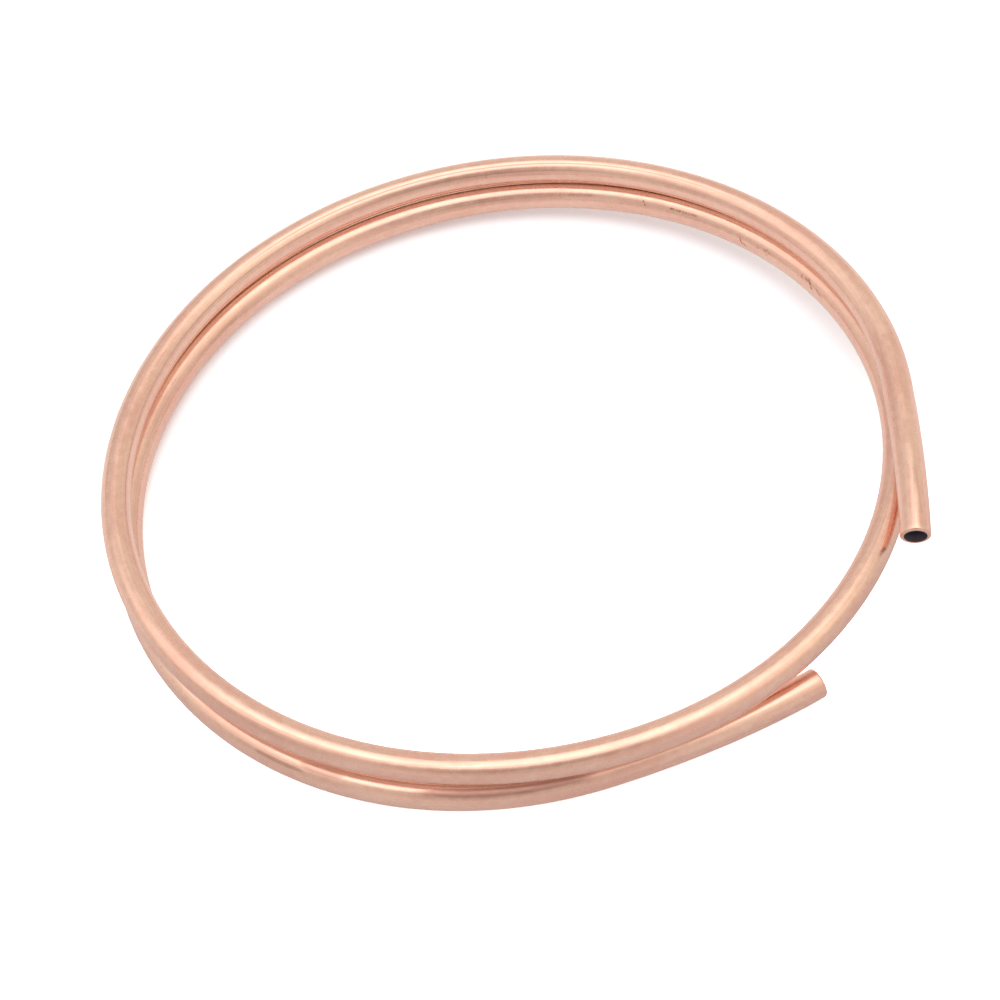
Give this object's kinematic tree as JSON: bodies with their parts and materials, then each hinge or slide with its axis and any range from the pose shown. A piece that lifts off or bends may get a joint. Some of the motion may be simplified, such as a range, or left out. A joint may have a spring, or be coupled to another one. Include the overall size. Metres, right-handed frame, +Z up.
{
  "type": "copper tube coil",
  "caption": "Length of soft copper tube hand wound into a flat open coil, hollow right through, with plainly cut free ends that spring slightly outward.",
  "frame": {"origin": "bottom centre of the coil's box, on the floor it lies on", "axes": "+Z up through the eye of the coil; -Y toward the side where the turns lie closest together, +X toward the side with the free ends"},
  "size_m": [0.1754, 0.1674, 0.0187],
  "materials": {
    "copper": "bright drawn soft copper"
  },
  "bodies": {
    "root": {"copper_tube": "copper"}
  },
  "joints": []
}
